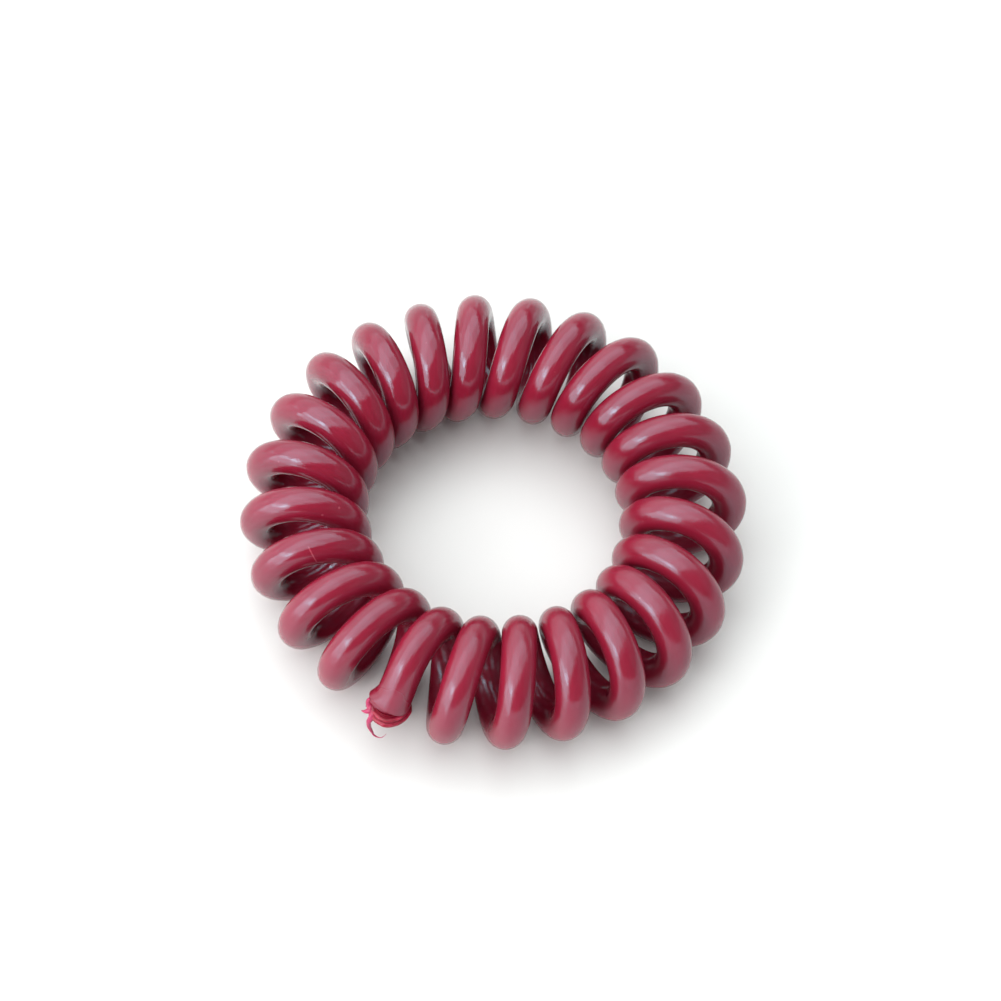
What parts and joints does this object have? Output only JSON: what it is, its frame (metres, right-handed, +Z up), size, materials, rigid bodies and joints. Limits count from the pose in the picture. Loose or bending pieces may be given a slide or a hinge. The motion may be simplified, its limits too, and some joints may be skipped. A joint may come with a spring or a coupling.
{
  "type": "spiral hair tie",
  "caption": "Ring of coiled round plastic cord, its two ends melted together in a small collar, that stretches round a ponytail or a wrist.",
  "frame": {"origin": "middle of the ring, on the surface that the ring lies on", "axes": "+Z up, through the ring's opening; the weld is at the front left, towards -Y and a little towards -X"},
  "size_m": [0.0494, 0.0497, 0.0126],
  "materials": {
    "cord_plastic": "smooth glossy, deep burgundy red",
    "melted_plastic": "glossy, brighter red where the plastic is thin"
  },
  "bodies": {
    "root": {"coil": "cord_plastic", "weld_collar": "melted_plastic"}
  },
  "joints": []
}
